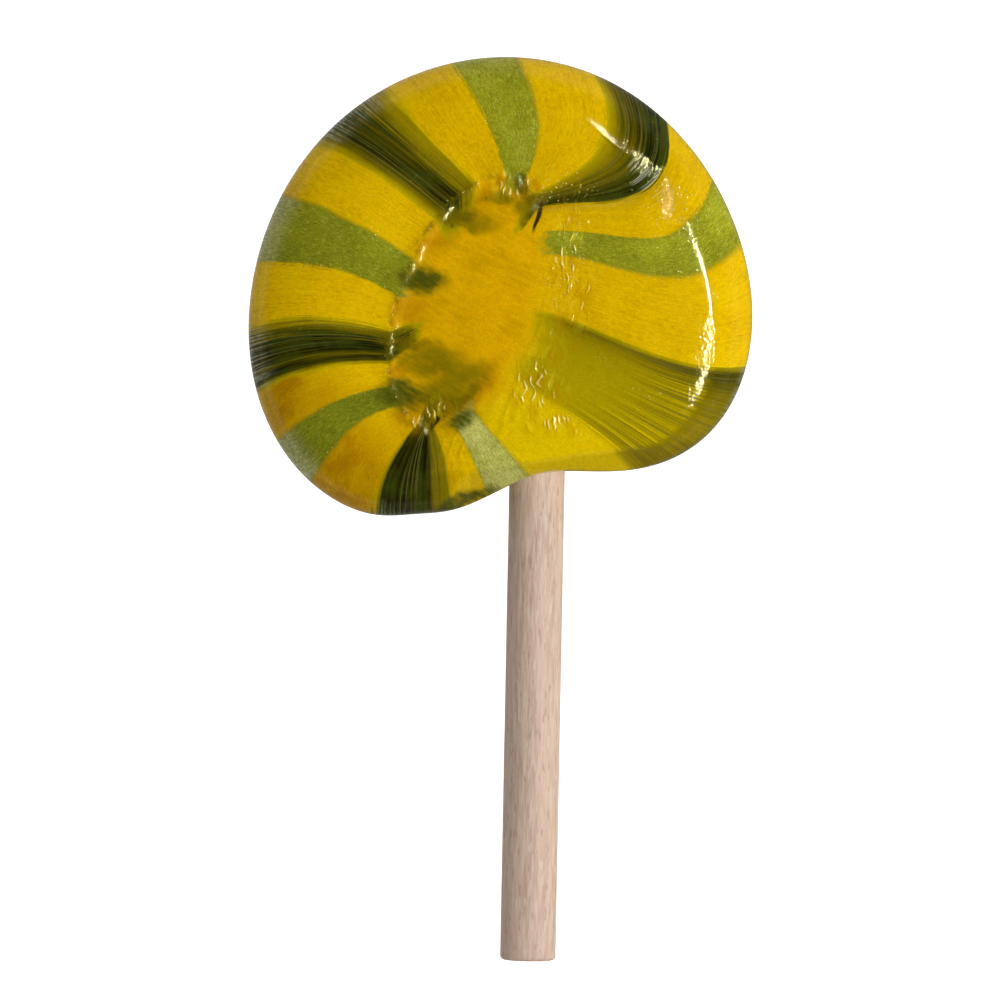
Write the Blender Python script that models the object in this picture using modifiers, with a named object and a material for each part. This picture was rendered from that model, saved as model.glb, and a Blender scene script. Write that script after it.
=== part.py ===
"""A handmade pillow lollipop of pulled satin sugar on a wooden stick.

It lies on its back with the shown face up: X across, Y along the stick towards
the head's top, Z up. The origin is on the floor, on the stick's line, below the
middle of the head. Lengths below are in millimetres and angles in degrees.
"""

import math

import bmesh
import bpy
import numpy as np
from mathutils import Matrix

MM = 0.001
TINY = 1e-6

# Outline of the candy seen from above: a radius about its middle that swells
# into a left and a right lobe and dips where the stick goes in.
MIDDLE_X = -3.3
RIM_RADIUS = 18.8
LEFT_LOBE = (3.5, 228.6, 48.3)
RIGHT_LOBE = (2.6, 326.2, 46.4)
STICK_NOTCH = (-5.2, 283.2, 29.9)
HEEL_DENT = (-0.4, 250.8, 6.9)
FLAT_TOP = (-0.4, 109.2, 40.0)

# Section: a plump pillow, fuller to the right, its edge squarest by the stick.
WAIST_HEIGHT = 4.9
FRONT_BULGE = 5.7
RISE_TO_THE_RIGHT = 0.028
BACK_BULGE = 5.6
FRONT_FULLNESS = 2.7
BACK_FULLNESS = 2.7
SQUARE_BOTTOM = (5.0, 285.0, 30.0)
SQUARE_RIGHT = (0.9, 345.0, 50.0)

# The shoulder at the right: how far in from the rim the slope steepens, and by how much.
SHOULDER_INSET = 2.2
SHOULDER_INSET_ABOVE = (1.3, 20.0, 40.0)
SHOULDER_DROP = (0.24, 358.0, 56.0)
SHOULDER_ROUNDING = 0.15

# The foot, pressed to a steep facet beyond a straight crest across the stick.
FACET_DIRECTION = 278.7
FACET_SLOPE = 1.3
CREST_REACH = 14.6
CREST_HEIGHT = 5.2
CREST_MIDDLE = 2.8
CREST_HALF_LENGTH = 7.3
CREST_ROUNDING = 0.25

# The cut where the sugar rope was pinched off: an upright oval scar.
SCAR_CENTRE = (-2.6, -1.6)
SCAR_HALF_LENGTH = 10.6
SCAR_HALF_WIDTH = 5.5
SCAR_TILT = 71.0
SCAR_RECESS = 0.18
RECESS_RUN = 1.2
PINCH_DEPTH_LEFT = 1.15
PINCH_DEPTH_RIGHT = 0.45
PINCH_REACH = 4.2
LIP_HEIGHT = 0.05
LIP_WIDTH = 0.6

# Where folds end at the scar, each pinched in: x, y, depth and width.
DENTS = [(-5.2, -11.8, 0.25, 1.1), (-3.8, 6.3, 0.2, 1.1)]

# Folds run from the scar to the rim and swing sideways on the way.
SWING = -0.6
SWING_UPPER_RIGHT = (-3.2, 46.0, 37.2)
SWING_BOTTOM = (1.2, 298.0, 30.0)
SKEW_RIGHT = (1.0, 4.0, 50.0)
TWIST = 10.7
TWIST_TOP = (18.6, 97.0, 35.0)
TWIST_BOTTOM = (-22.0, 302.6, 92.8)

# The deep fold at the upper right, where the top lobe laps over the right one.
FOLD_RIM_ANGLE = 46.6
FOLD_DEPTH = 1.35
FOLD_UPPER_WIDTH = 1.9
FOLD_LOWER_WIDTH = 1.2
FOLD_DEEPEST_AT = 0.4
FOLD_RUN = 0.42
FOLD_WIDTH_AT_SCAR = 0.3
FOLD_OPENS_BY = 0.3

# Stick.
STICK_DIAMETER = 4.5
STICK_LENGTH = 65.0
STICK_IN_CANDY = 25.6
STICK_LEAVES_AT = 283.0
STICK_EDGE = 0.35
STICK_SIDES = 32
STICK_GAP = 0.3

# Mesh of the candy.
MERIDIANS = 96
RINGS = 44
RINGS_IN_SCAR = 6
RINGS_ON_BACK = 14


def bump(angle, centre, width):
    """A smooth swelling of height 1 at one angle of the full turn."""
    away = (angle - centre + 180.0) % 360.0 - 180.0
    return np.exp(-((away / width) ** 2))


def swell(angle, base, *bumps):
    """A base value with swellings given as (height, centre, width)."""
    return base + sum(height * bump(angle, centre, width) for height, centre, width in bumps)


def rim_radius(angle):
    return swell(angle, RIM_RADIUS, LEFT_LOBE, RIGHT_LOBE, STICK_NOTCH, HEEL_DENT, FLAT_TOP)


def rim_point(angle):
    turn = np.radians(angle)
    return np.stack([rim_radius(angle) * np.cos(turn), rim_radius(angle) * np.sin(turn)], -1)


def scar_axes():
    turn = math.radians(SCAR_TILT)
    along = np.array([math.cos(turn), math.sin(turn)])
    return along, np.array([-along[1], along[0]])


def lip_point(angle):
    """A point of the scar's edge, by its angle round the oval."""
    along, across = scar_axes()
    turn = np.radians(angle - SCAR_TILT)[..., None]
    oval = SCAR_HALF_LENGTH * np.cos(turn) * along + SCAR_HALF_WIDTH * np.sin(turn) * across
    return np.array(SCAR_CENTRE) + oval


def fold_path(rim_angle, share):
    """A point on the fold line to a rim angle; share runs 0 at the lip to 1 at the rim."""
    lip = lip_point(rim_angle - swell(rim_angle, TWIST, TWIST_TOP, TWIST_BOTTOM))
    run = rim_point(rim_angle) - lip
    sideways = np.stack([-run[..., 1], run[..., 0]], -1)
    sideways /= np.linalg.norm(sideways, axis=-1, keepdims=True)
    swing = swell(rim_angle, SWING, SWING_UPPER_RIGHT, SWING_BOTTOM)
    skew = swell(rim_angle, 0.0, SKEW_RIGHT)
    bow = swing * 4.0 * share * (1.0 - share) * (1.0 + skew * (2.0 * share - 1.0))
    return lip + run * share[..., None] + bow[..., None] * sideways


def scar_distance(place):
    """How far a place lies outside the scar's edge, and a share, 1 left of it and 0 right."""
    along, across = scar_axes()
    offset = place - np.array(SCAR_CENTRE)
    lengthways = offset @ along / SCAR_HALF_LENGTH
    sideways = offset @ across / SCAR_HALF_WIDTH
    scale = np.maximum(np.hypot(lengthways, sideways), TINY)
    from_centre = np.maximum(np.linalg.norm(offset, axis=-1), TINY * SCAR_HALF_WIDTH)
    distance = (scale - 1.0) / scale * from_centre
    return distance, 0.5 + 0.5 * np.sin(0.5 * math.pi * np.clip(sideways, -1.0, 1.0))


def fold_depth(place):
    """Depth of the crease at the upper right: steep on its lower side, gentle above."""
    share = np.linspace(0.0, 1.0, 120)
    line = fold_path(np.full_like(share, FOLD_RIM_ANGLE), share)
    step = np.gradient(line, axis=0)
    offset = place[:, None] - line[None]
    nearest = np.argmin((offset**2).sum(-1), axis=1)
    rows = np.arange(len(place))
    away = offset[rows, nearest]
    side = step[nearest, 0] * away[:, 1] - step[nearest, 1] * away[:, 0]
    opening = np.clip(share[nearest] / FOLD_OPENS_BY, 0.0, 1.0)
    width = np.where(side > 0.0, FOLD_UPPER_WIDTH, FOLD_LOWER_WIDTH)
    width = width * (FOLD_WIDTH_AT_SCAR + (1.0 - FOLD_WIDTH_AT_SCAR) * opening)
    run = np.exp(-(((share[nearest] - FOLD_DEEPEST_AT) / FOLD_RUN) ** 2))
    return FOLD_DEPTH * run * np.exp(-np.hypot(*away.T) / width)


def pillow(place, fullness):
    """Height share of a pillow section, 1 in the middle and 0 at the rim."""
    angle = np.degrees(np.arctan2(place[:, 1], place[:, 0]))
    reach = np.clip(np.hypot(*place.T) / rim_radius(angle), 0.0, 1.0)
    return (1.0 - reach**fullness) ** (1.0 / fullness)


def shoulder(place, angle):
    """Extra fall of the surface past the shoulder's crest."""
    inset = swell(angle, SHOULDER_INSET, SHOULDER_INSET_ABOVE)
    past = (np.hypot(*place.T) - rim_radius(angle) + inset) / SHOULDER_ROUNDING
    return swell(angle, 0.0, SHOULDER_DROP) * SHOULDER_ROUNDING * np.logaddexp(0.0, past)


def under_facet(place, height):
    """Lower a height to the facet at the foot, with a rounded crest between the two."""
    turn = math.radians(FACET_DIRECTION)
    beyond = place @ np.array([math.cos(turn), math.sin(turn)]) - CREST_REACH
    along = place @ np.array([-math.sin(turn), math.cos(turn)]) - CREST_MIDDLE
    past_end = np.maximum(np.abs(along) - CREST_HALF_LENGTH, 0.0)
    facet = CREST_HEIGHT - FACET_SLOPE * beyond + past_end
    return -CREST_ROUNDING * np.logaddexp(-height / CREST_ROUNDING, -facet / CREST_ROUNDING)


def dents(place):
    """Depth of the small hollows where folds are pinched together."""
    return sum(depth * np.exp(-((place[:, 0] - x) ** 2 + (place[:, 1] - y) ** 2) / width**2)
               for x, y, depth, width in DENTS)


def front_height(place):
    angle = np.degrees(np.arctan2(place[:, 1], place[:, 0]))
    fullness = swell(angle, FRONT_FULLNESS, SQUARE_BOTTOM, SQUARE_RIGHT)
    section = pillow(place, fullness)
    height = (FRONT_BULGE + RISE_TO_THE_RIGHT * place[:, 0]) * section
    distance, leftness = scar_distance(place)
    outside = np.maximum(distance, 0.0)
    depth = PINCH_DEPTH_RIGHT + (PINCH_DEPTH_LEFT - PINCH_DEPTH_RIGHT) * leftness
    pinch = depth * np.exp(-((outside / PINCH_REACH) ** 2)) + dents(place)
    lip = LIP_HEIGHT * leftness * np.exp(-((distance / LIP_WIDTH) ** 2))
    recess = SCAR_RECESS * leftness * np.clip(-distance / RECESS_RUN, 0.0, 1.0) ** 2
    fall = pinch + recess + fold_depth(place) + shoulder(place, angle)
    return under_facet(place, height + section * (lip - fall))


def back_height(place):
    return -BACK_BULGE * pillow(place, np.full(len(place), BACK_FULLNESS))


def candy_surface(turn, ring):
    """Place the points of a globe, given by longitude and ring number, on the candy."""
    last_front = RINGS - RINGS_ON_BACK
    in_scar = np.clip(ring / RINGS_IN_SCAR, 0.0, 1.0)
    on_front = np.clip((ring - RINGS_IN_SCAR) / (last_front - RINGS_IN_SCAR), 0.0, 1.0)
    on_back = np.clip((ring - last_front) / RINGS_ON_BACK, 0.0, 1.0)
    share = 0.5 - 0.5 * np.cos(math.pi * on_front)
    place = fold_path(turn, share)
    centre = np.array(SCAR_CENTRE)
    place = centre + (place - centre) * np.where(on_front > 0.0, 1.0, in_scar)[:, None]
    inward = np.cos(0.5 * math.pi * on_back)
    place = np.where(on_back[:, None] > 0.0, rim_point(turn) * inward[:, None], place)
    height = np.where(on_back > 0.0, back_height(place), front_height(place))
    return np.column_stack([place[:, 0] + MIDDLE_X, place[:, 1], height + WAIST_HEIGHT])


def new_object(name, bm, collection, material=None):
    mesh = bpy.data.meshes.new(name)
    bm.to_mesh(mesh)
    bm.free()
    piece = bpy.data.objects.new(name, mesh)
    collection.objects.link(piece)
    if material:
        mesh.materials.append(material)
        mesh.shade_smooth()
    return piece


def new_collection(name):
    collection = bpy.data.collections.new(name)
    bpy.context.scene.collection.children.link(collection)
    return collection


def plain_material(name, colour, roughness):
    material = bpy.data.materials.new(name)
    material.use_nodes = True
    shader = material.node_tree.nodes["Principled BSDF"]
    shader.inputs["Base Color"].default_value = (*colour, 1.0)
    shader.inputs["Roughness"].default_value = roughness
    shader.inputs["Metallic"].default_value = 0.0
    return material


def sugar_material():
    return plain_material("satin_sugar", (0.60, 0.40, 0.01), 0.2)


def wood_material():
    return plain_material("birch_wood", (0.55, 0.41, 0.32), 0.7)


def make_candy(collection):
    """Shape a globe into the pillow, then press its back flat on the floor."""
    bm = bmesh.new()
    bmesh.ops.create_uvsphere(bm, u_segments=MERIDIANS, v_segments=RINGS, radius=1.0)
    globe = np.array([vert.co[:] for vert in bm.verts])
    turn = np.degrees(np.arctan2(globe[:, 1], globe[:, 0])) % 360.0
    ring = np.degrees(np.arccos(np.clip(globe[:, 2], -1.0, 1.0))) / 180.0 * RINGS
    for vert, point in zip(bm.verts, candy_surface(turn, ring) * MM):
        vert.co = point
    everything = bm.verts[:] + bm.edges[:] + bm.faces[:]
    floor = {"plane_co": (0.0, 0.0, 0.0), "plane_no": (0.0, 0.0, 1.0)}
    bmesh.ops.bisect_plane(bm, geom=everything, dist=TINY, clear_inner=True, **floor)
    rest = [edge for edge in bm.edges if edge.is_boundary]
    for vert in {vert for edge in rest for vert in edge.verts}:
        vert.co.z = 0.0
    bmesh.ops.contextual_create(bm, geom=rest)
    bmesh.ops.recalc_face_normals(bm, faces=bm.faces)
    return new_object("candy", bm, collection, sugar_material())


def along_stick(length, diameter, top, bm):
    """A round bar on the stick's line whose upper end is at Y = top."""
    place = Matrix.Translation((0.0, (top - 0.5 * length) * MM, WAIST_HEIGHT * MM))
    lie_down = Matrix.Rotation(math.radians(90.0), 4, "X")
    radius = 0.5 * diameter * MM
    bmesh.ops.create_cone(bm, cap_ends=True, segments=STICK_SIDES, radius1=radius,
                          radius2=radius, depth=length * MM, matrix=place @ lie_down)


def stick_top():
    """The stick's upper end, measured from where it leaves the candy."""
    return float(rim_point(np.array(STICK_LEAVES_AT))[1]) + STICK_IN_CANDY


def make_stick(collection):
    bm = bmesh.new()
    along_stick(STICK_LENGTH, STICK_DIAMETER, stick_top(), bm)
    stick = new_object("stick", bm, collection, wood_material())
    edge = stick.modifiers.new("broken_edge", "BEVEL")
    edge.width = STICK_EDGE * MM
    edge.segments = 2
    edge.limit_method = "ANGLE"
    edge.angle_limit = math.radians(60.0)
    return stick


def drill_for_stick(candy, collection):
    """A blind hole a little wider and deeper than the stick."""
    bm = bmesh.new()
    along_stick(STICK_LENGTH, STICK_DIAMETER + 2.0 * STICK_GAP, stick_top() + STICK_GAP, bm)
    cutter = new_object("stick_hole", bm, collection)
    cutter.hide_render = True
    cutter.display_type = "WIRE"
    hole = candy.modifiers.new("stick_hole", "BOOLEAN")
    hole.operation = "DIFFERENCE"
    hole.solver = "EXACT"
    hole.object = cutter


for old in list(bpy.data.objects):
    bpy.data.objects.remove(old)
lollipop = new_collection("swirl_lollipop")
cutters = new_collection("cutters")
candy_head = make_candy(lollipop)
make_stick(lollipop)
drill_for_stick(candy_head, cutters)
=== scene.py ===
import math

import bmesh
import bpy
import numpy as np
from mathutils import Matrix, Quaternion, Vector


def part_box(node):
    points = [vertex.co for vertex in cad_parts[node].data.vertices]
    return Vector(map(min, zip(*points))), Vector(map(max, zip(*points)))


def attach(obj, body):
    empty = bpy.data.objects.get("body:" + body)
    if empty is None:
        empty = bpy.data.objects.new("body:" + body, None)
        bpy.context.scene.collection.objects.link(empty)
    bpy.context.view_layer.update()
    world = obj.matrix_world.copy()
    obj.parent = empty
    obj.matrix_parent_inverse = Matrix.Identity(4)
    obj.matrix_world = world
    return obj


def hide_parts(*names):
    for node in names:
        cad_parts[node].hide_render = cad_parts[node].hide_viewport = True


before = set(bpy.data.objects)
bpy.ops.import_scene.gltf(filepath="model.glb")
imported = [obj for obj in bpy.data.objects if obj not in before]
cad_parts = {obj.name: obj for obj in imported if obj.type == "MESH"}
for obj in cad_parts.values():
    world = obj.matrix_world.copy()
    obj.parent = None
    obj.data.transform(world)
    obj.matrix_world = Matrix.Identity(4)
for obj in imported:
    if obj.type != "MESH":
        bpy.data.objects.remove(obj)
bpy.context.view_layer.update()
MM = 0.001

# The candy head: hard sugar, pulled until it is satiny, rolled up as a yellow rope
# with light and dark green stripes, then pinched off and pressed into a pillow.
# The stripes run from the oval scar of the cut over the rim to the pressed back.

HEAD_MIDDLE_X = -3.3
RIM_RADIUS = 18.8
RIM_SWELLS = [(3.5, 228.6, 48.3), (2.6, 326.2, 46.4), (-5.2, 283.2, 29.9),
              (-0.4, 250.8, 6.9), (-0.4, 109.2, 40.0)]
WAIST_HEIGHT = 4.9
FRONT_BULGE = 5.7
RISE_TO_THE_RIGHT = 0.028
BACK_BULGE = 5.6
BACK_FULLNESS = 2.7
FRONT_FULLNESS = 2.7
FULLNESS_SWELLS = [(5.0, 285.0, 30.0), (0.9, 345.0, 50.0)]
BACK_TWIST = 38.0

SHOULDER_INSET = 2.2
SHOULDER_INSET_ABOVE = (1.3, 20.0, 40.0)
SHOULDER_DROP = (0.24, 358.0, 56.0)
SHOULDER_ROUNDING = 0.15
FACET_DIRECTION = 278.7
FACET_SLOPE = 1.3
CREST_REACH = 14.6
CREST_HEIGHT = 5.2
CREST_MIDDLE = 2.8
CREST_HALF_LENGTH = 7.3
CREST_ROUNDING = 0.25

SCAR_CENTRE = np.array([-2.6, -1.6])
SCAR_HALF_LENGTH = 10.6
SCAR_HALF_WIDTH = 5.5
SCAR_TILT = 71.0
SCAR_RECESS = 0.18
PINCH_LEFT = 1.15
PINCH_RIGHT = 0.45
PINCH_REACH = 4.2
LIP_HEIGHT = 0.04
LIP_WIDTH = 0.6
LIP_DROP = 1.0
DENTS = [(-5.2, -11.8, 0.25, 1.1), (-3.8, 6.3, 0.2, 1.1)]

# The small relief round the scar, in millimetres of height.
BEAD_HEIGHT = 0.07
CRUMPLE_HEIGHT = 0.12
CREASE_HEIGHT = 0.11
RIPPLE_HEIGHT = 0.05
FRAYED_HEIGHT = 0.11
FRAYED_AT = (0.4, -10.6)
FRAYED_REACH = 2.3

# Each stripe's two edges: where it leaves the scar and where it meets the rim, in
# degrees, its sideways bow on the way in millimetres, and how far that bow sits
# towards the rim (+) or the scar (-). Light and dark green take turns.
STRIPE_EDGES = [
    (16, 12.6, -2.3, 0.9), (25, 27.0, -2.9, 0.8),
    (41, 46.6, -3.4, 0.7), (50, 65.8, -3.5, 0.3),
    (62, 87.8, -1.3, -0.2), (75, 102.6, -0.5, -0.5),
    (103, 123.4, 0.2, 1.2), (128, 142.5, -0.4, 0.2),
    (152, 158.7, -0.4, 0.3), (169, 175.8, -1.0, -0.3),
    (185, 191.1, -0.7, 0.1), (200, 204.9, -0.8, 0.0),
    (213, 216.5, -0.8, 0.0), (226, 226.6, -1.2, -0.4),
    (248, 242.7, -0.85, 0.3), (261, 260.2, 0.5, -0.6),
    (278, 268.1, 0.0, 0.2), (290, 278.3, -0.1, 0.8),
    (314, 305.7, 0.7, 0.0), (348, 341.4, -0.8, 1.2),
]
BANDS = len(STRIPE_EDGES)
FOLD_BAND = 2.0
FOLD_DEPTH = 1.35
FOLD_UPPER_WIDTH = 1.9
FOLD_LOWER_WIDTH = 1.2
FOLD_DEEPEST_AT = 0.4
FOLD_RUN = 0.42
FOLD_WIDTH_AT_SCAR = 0.3
FOLD_OPENS_BY = 0.3
FOLD_STEPS = 160
FOLD_LIMIT = 16.0

STRANDS = 400
SCAR_RINGS = 48
FRONT_RINGS = 130
BACK_RINGS = 60
RINGS = SCAR_RINGS + FRONT_RINGS + BACK_RINGS
FINE_STEPS = 500


def swell(angle, base, swells):
    """A base value with smooth swellings round the turn: (height, centre, width) each."""
    for height, centre, width in swells:
        away = (angle - centre + 180.0) % 360.0 - 180.0
        base = base + height * np.exp(-((away / width) ** 2))
    return base


def rim_radius(angle):
    return swell(angle, RIM_RADIUS, RIM_SWELLS)


def rim_point(angle):
    turn = np.radians(angle)
    return np.stack([rim_radius(angle) * np.cos(turn), rim_radius(angle) * np.sin(turn)], -1)


SCAR_ALONG = np.array([math.cos(math.radians(SCAR_TILT)), math.sin(math.radians(SCAR_TILT))])
SCAR_ACROSS = np.array([-SCAR_ALONG[1], SCAR_ALONG[0]])


def lip_point(angle):
    turn = np.radians(angle - SCAR_TILT)[..., None]
    oval = SCAR_HALF_LENGTH * np.cos(turn) * SCAR_ALONG
    return SCAR_CENTRE + oval + SCAR_HALF_WIDTH * np.sin(turn) * SCAR_ACROSS


def along_bands(band, column):
    """A value of the stripe edges, carried smoothly round the head between them."""
    step = 360.0 if column < 2 else 0.0
    known = [edge[column] for edge in STRIPE_EDGES]
    if column < 2:
        known = [known[0]] + [k if k >= known[0] else k + 360.0 for k in known[1:]]
    known = np.array([k - step for k in known] + list(known) + [k + step for k in known])
    place = np.arange(-BANDS, 2 * BANDS)
    return np.mean([np.interp(band + shift, place, known)
                    for shift in np.linspace(-0.3, 0.3, 7)], axis=0)


def strand_path(band, share):
    """A point on a strand of sugar, from 0 at the scar's lip to 1 at the rim."""
    lip = lip_point(along_bands(band, 0))
    run = rim_point(along_bands(band, 1)) - lip
    sideways = np.stack([-run[..., 1], run[..., 0]], -1)
    sideways /= np.linalg.norm(sideways, axis=-1, keepdims=True)
    bow = 4.0 * share * (1.0 - share) * (1.0 + along_bands(band, 3) * (2.0 * share - 1.0))
    bow = along_bands(band, 2) * bow
    return lip + run * share[..., None] + bow[..., None] * sideways


def scar_distance(place):
    """Distance outside the lip (negative inside), and a share: 1 left of it, 0 right."""
    offset = place - SCAR_CENTRE
    lengthways = offset @ SCAR_ALONG / SCAR_HALF_LENGTH
    sideways = offset @ SCAR_ACROSS / SCAR_HALF_WIDTH
    scale = np.maximum(np.hypot(lengthways, sideways), 1e-6)
    from_centre = np.maximum(np.linalg.norm(offset, axis=-1), 1e-6 * SCAR_HALF_WIDTH)
    leftness = 0.5 + 0.5 * np.sin(0.5 * math.pi * np.clip(sideways, -1.0, 1.0))
    return (scale - 1.0) / scale * from_centre, leftness


def fold_depth(place):
    """The crease at the upper right: steep on its lower side, gentle above."""
    share = np.linspace(0.0, 1.0, FOLD_STEPS)
    line = strand_path(np.full_like(share, FOLD_BAND), share)
    step = np.gradient(line, axis=0)
    depth = np.zeros(len(place))
    near = np.linalg.norm(place - line[FOLD_STEPS // 2], axis=-1) < FOLD_LIMIT
    offset = place[near][:, None] - line[None]
    nearest = np.argmin((offset**2).sum(-1), axis=1)
    away = offset[np.arange(len(nearest)), nearest]
    side = step[nearest, 0] * away[:, 1] - step[nearest, 1] * away[:, 0]
    width = np.where(side > 0.0, FOLD_UPPER_WIDTH, FOLD_LOWER_WIDTH)
    opening = np.clip(share[nearest] / FOLD_OPENS_BY, 0.0, 1.0)
    width = width * (FOLD_WIDTH_AT_SCAR + (1.0 - FOLD_WIDTH_AT_SCAR) * opening)
    run = np.exp(-(((share[nearest] - FOLD_DEEPEST_AT) / FOLD_RUN) ** 2))
    depth[near] = FOLD_DEPTH * run * np.exp(-np.hypot(*away.T) / width)
    return depth


def pillow(place, fullness):
    angle = np.degrees(np.arctan2(place[..., 1], place[..., 0]))
    reach = np.hypot(place[..., 0], place[..., 1]) / rim_radius(angle)
    return (1.0 - np.clip(reach, 0.0, 1.0) ** fullness) ** (1.0 / fullness)


def lumps(place, size, seed):
    """Smooth random relief between about -1 and 1, with lumps of a size in millimetres."""
    table = np.random.default_rng(seed).uniform(-1.0, 1.0, (64, 64))
    cell = place[..., :2] / np.asarray(size)
    base = np.floor(cell).astype(int)
    part = cell - base
    part = part * part * (3.0 - 2.0 * part)
    total = 0.0
    for corner in np.ndindex(2, 2):
        weight = np.prod(np.where(corner, part, 1.0 - part), axis=-1)
        at = (base + corner) % 64
        total = total + weight * table[at[..., 0], at[..., 1]]
    return total


def shoulder(place, angle):
    """Extra fall of the surface past the crest of the shoulder at the right."""
    inset = swell(angle, SHOULDER_INSET, [SHOULDER_INSET_ABOVE])
    past = (np.hypot(*place.T) - rim_radius(angle) + inset) / SHOULDER_ROUNDING
    return swell(angle, 0.0, [SHOULDER_DROP]) * SHOULDER_ROUNDING * np.logaddexp(0.0, past)


def under_facet(place, height):
    """Lower a height to the facet pressed at the foot, with a rounded crest between."""
    turn = math.radians(FACET_DIRECTION)
    beyond = place @ np.array([math.cos(turn), math.sin(turn)]) - CREST_REACH
    along = place @ np.array([-math.sin(turn), math.cos(turn)]) - CREST_MIDDLE
    past_end = np.maximum(np.abs(along) - CREST_HALF_LENGTH, 0.0)
    facet = CREST_HEIGHT - FACET_SLOPE * beyond + past_end
    return -CREST_ROUNDING * np.logaddexp(-height / CREST_ROUNDING, -facet / CREST_ROUNDING)


def dents(place):
    return sum(depth * np.exp(-((place[:, 0] - x) ** 2 + (place[:, 1] - y) ** 2) / width**2)
               for x, y, depth, width in DENTS)


def front_height(place):
    """Height of the shown face above the waist: pillow, pinch, scar, lip, fold and foot."""
    angle = np.degrees(np.arctan2(place[:, 1], place[:, 0]))
    section = pillow(place, swell(angle, FRONT_FULLNESS, FULLNESS_SWELLS))
    height = (FRONT_BULGE + RISE_TO_THE_RIGHT * place[:, 0]) * section
    distance, leftness = scar_distance(place)
    depth = PINCH_RIGHT + (PINCH_LEFT - PINCH_RIGHT) * leftness
    pinch = depth * np.exp(-((np.maximum(distance, 0.0) / PINCH_REACH) ** 2)) + dents(place)
    torn = distance + 0.22 * lumps(place, 1.7, 1) + 0.10 * lumps(place, 0.6, 2)
    lip = LIP_HEIGHT * leftness * np.exp(-((torn / LIP_WIDTH) ** 2))
    inside = np.clip(-torn / LIP_DROP, 0.0, 1.0)
    recess = SCAR_RECESS * leftness * inside * inside * (3.0 - 2.0 * inside)
    fall = pinch + recess + fold_depth(place) + shoulder(place, angle)
    return under_facet(place, height + section * (lip - fall))


def wrinkles(place):
    """Height of the small relief: beads on the lip, crumpled ends, creases, frayed folds."""
    distance, leftness = scar_distance(place)
    offset = place - SCAR_CENTRE
    upright = np.stack([offset @ SCAR_ACROSS, offset @ SCAR_ALONG], -1)
    ends = np.clip(np.abs(upright[..., 1]) / SCAR_HALF_LENGTH * 3.3 - 2.3, 0.0, 1.0)
    at_lip = np.exp(-(((distance + 0.3 * lumps(place, 1.6, 3)) / 0.4) ** 2))
    beads = BEAD_HEIGHT * at_lip * lumps(place, 0.42, 4) * (0.1 + 0.9 * leftness)
    crumple = CRUMPLE_HEIGHT * ends * np.exp(-((distance / 1.3) ** 2)) * lumps(place, 0.6, 5)
    beside = np.exp(-(((distance - 2.0) / 1.8) ** 2)) * (1.0 - leftness)
    thin = np.clip(1.0 - 3.0 * np.abs(lumps(upright, (0.8, 2.2), 6)), 0.0, 1.0) ** 2
    broken = np.clip(3.0 * lumps(upright, (1.2, 1.6), 7), 0.0, 1.0)
    creases = CREASE_HEIGHT * beside * thin * broken
    ripple = RIPPLE_HEIGHT * np.clip(-distance, 0.0, 1.0) * lumps(place, (1.6, 1.2), 8)
    frayed = np.exp(-((np.linalg.norm(place - FRAYED_AT, axis=-1) / FRAYED_REACH) ** 4))
    folds = FRAYED_HEIGHT * frayed * np.abs(lumps(upright, (0.8, 1.5), 9))
    return beads + crumple + creases + ripple - folds


def evenly(points, count):
    """Points at even steps of length along each strand of a grid of points."""
    steps = np.linalg.norm(np.diff(points, axis=1), axis=2)
    length = np.concatenate([np.zeros((len(points), 1)), np.cumsum(steps, axis=1)], axis=1)
    spaced = np.empty((len(points), count + 1, 3))
    for row, (strand, along) in enumerate(zip(points, length)):
        wanted = np.linspace(0.0, along[-1], count + 1)
        spaced[row] = np.stack([np.interp(wanted, along, strand[:, k]) for k in range(3)], -1)
    return spaced


def candy_grid():
    """The candy's skin as a grid: strands round the head, rings from scar to back."""
    band = np.arange(STRANDS + 1) * BANDS / STRANDS
    fine = np.linspace(0.0, 1.0, FINE_STEPS)
    band_grid, share = np.meshgrid(band, fine, indexing="ij")
    rim_ward = 1.0 - (1.0 - share) ** 3

    def standing(place, height):
        flat = place.reshape(-1, 2)
        up = height(flat).reshape(share.shape)
        return np.concatenate([place, (up + WAIST_HEIGHT)[..., None]], -1)

    lip = lip_point(along_bands(band_grid, 0))
    scar = standing(SCAR_CENTRE + (lip - SCAR_CENTRE) * share[..., None], front_height)
    front = standing(strand_path(band_grid, rim_ward), front_height)
    inward = np.cos(0.5 * math.pi * share)
    rim_angle = along_bands(band_grid, 1)
    turn = np.radians(rim_angle + BACK_TWIST * (1.0 - inward))
    reach = rim_radius(np.degrees(turn)) * inward
    back = standing(np.stack([reach * np.cos(turn), reach * np.sin(turn)], -1),
                    lambda place: -BACK_BULGE * pillow(place, BACK_FULLNESS))
    back[..., 2] = np.maximum(back[..., 2], 0.0)
    return np.concatenate([evenly(scar, SCAR_RINGS), evenly(front, FRONT_RINGS)[:, 1:],
                           evenly(back, BACK_RINGS)[:, 1:]], axis=1)


grid = candy_grid()
on_front = grid[:, :SCAR_RINGS + FRONT_RINGS]
on_front[..., 2] += wrinkles(on_front[..., :2])
grid[-1] = grid[0]
grid[..., 0] += HEAD_MIDDLE_X

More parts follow.
